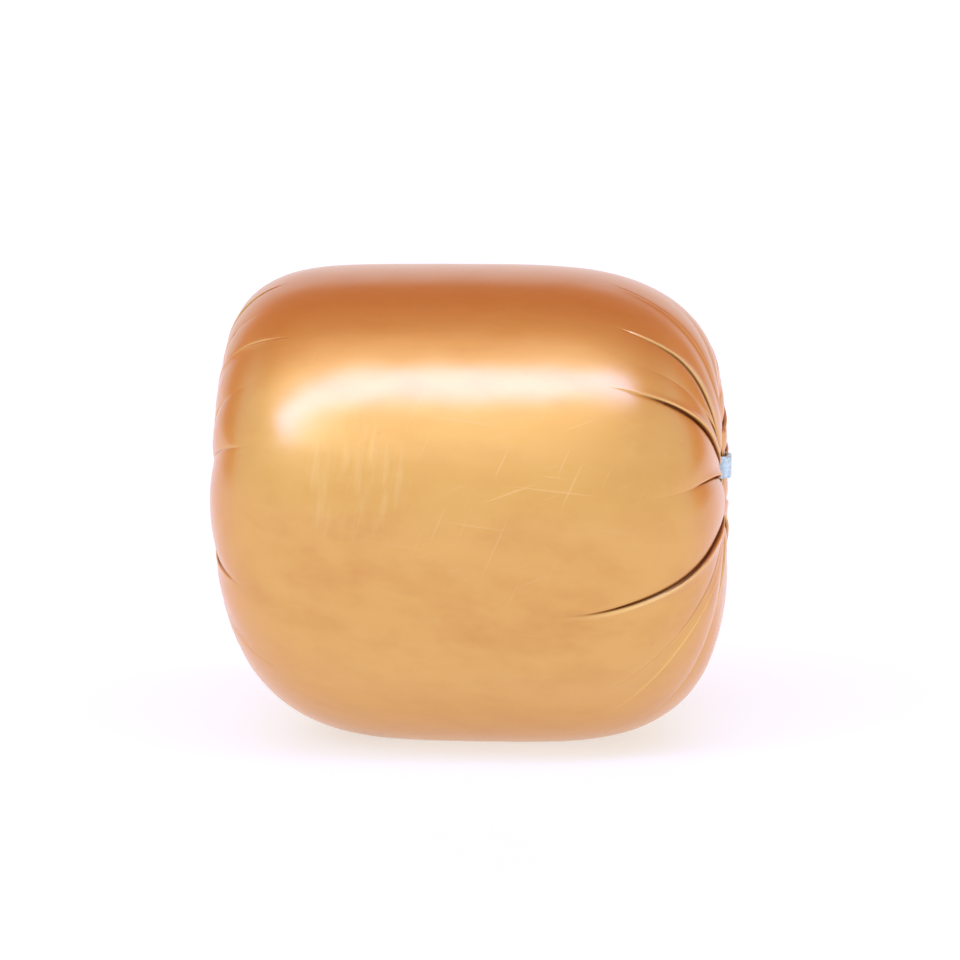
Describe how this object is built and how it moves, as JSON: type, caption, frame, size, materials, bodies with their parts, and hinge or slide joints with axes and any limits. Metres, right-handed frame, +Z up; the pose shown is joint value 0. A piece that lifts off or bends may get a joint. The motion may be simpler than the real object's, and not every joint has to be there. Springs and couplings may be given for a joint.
{
  "type": "whole cooked ham in a clipped plastic casing",
  "caption": "Short, thick cooked ham lying on its side in a glossy film casing, each end gathered into pleats and closed with a wire clip.",
  "frame": {"origin": "on the table, below the middle of the ham as it lies", "axes": "+X along the ham towards the end whose neck is bent straight up, +Z up, -Y the ham's front"},
  "size_m": [0.1194, 0.112, 0.11],
  "materials": {
    "casing_film": "gloss",
    "cooked_meat": "satin",
    "clip_wire": "satin"
  },
  "bodies": {
    "root": {"casing": "casing_film", "ham_meat": "cooked_meat", "clip_right": "clip_wire", "clip_left": "clip_wire"}
  },
  "joints": []
}
